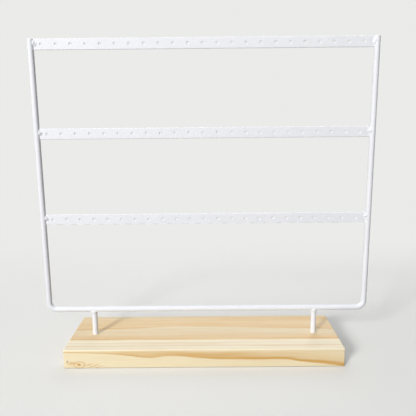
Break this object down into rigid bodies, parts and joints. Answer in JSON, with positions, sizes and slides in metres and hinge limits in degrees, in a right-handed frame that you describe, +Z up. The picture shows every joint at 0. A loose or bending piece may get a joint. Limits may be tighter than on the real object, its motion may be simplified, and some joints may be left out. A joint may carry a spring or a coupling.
{
  "type": "earring display stand",
  "caption": "Tabletop earring display stand: white rod frame with perforated metal bars for earring posts and hooks, on two short posts over a wooden base board.",
  "frame": {"origin": "on the resting surface, under the middle of the frame's width and of the base board's depth", "axes": "+X to the right along the bars as seen from the front, +Y to the back, +Z up"},
  "size_m": [0.3052, 0.0736, 0.2906],
  "materials": {
    "white_coat": "satin white powder coat",
    "pine": "sanded, pale, unvarnished pine",
    "plated_steel": "zinc plated"
  },
  "bodies": {
    "root": {"base_board": "pine", "frame_rod": "white_coat", "bar_bottom": "white_coat", "bar_middle": "white_coat", "bar_top": "white_coat", "post_left": "white_coat", "post_right": "white_coat", "weld_bottom_left": "white_coat", "weld_bottom_right": "white_coat", "weld_middle_left": "white_coat", "weld_middle_right": "white_coat", "weld_top_left": "white_coat", "weld_top_right": "white_coat", "weld_post_left": "white_coat", "weld_post_right": "white_coat", "screw_left": "plated_steel", "screw_right": "plated_steel"}
  },
  "joints": []
}
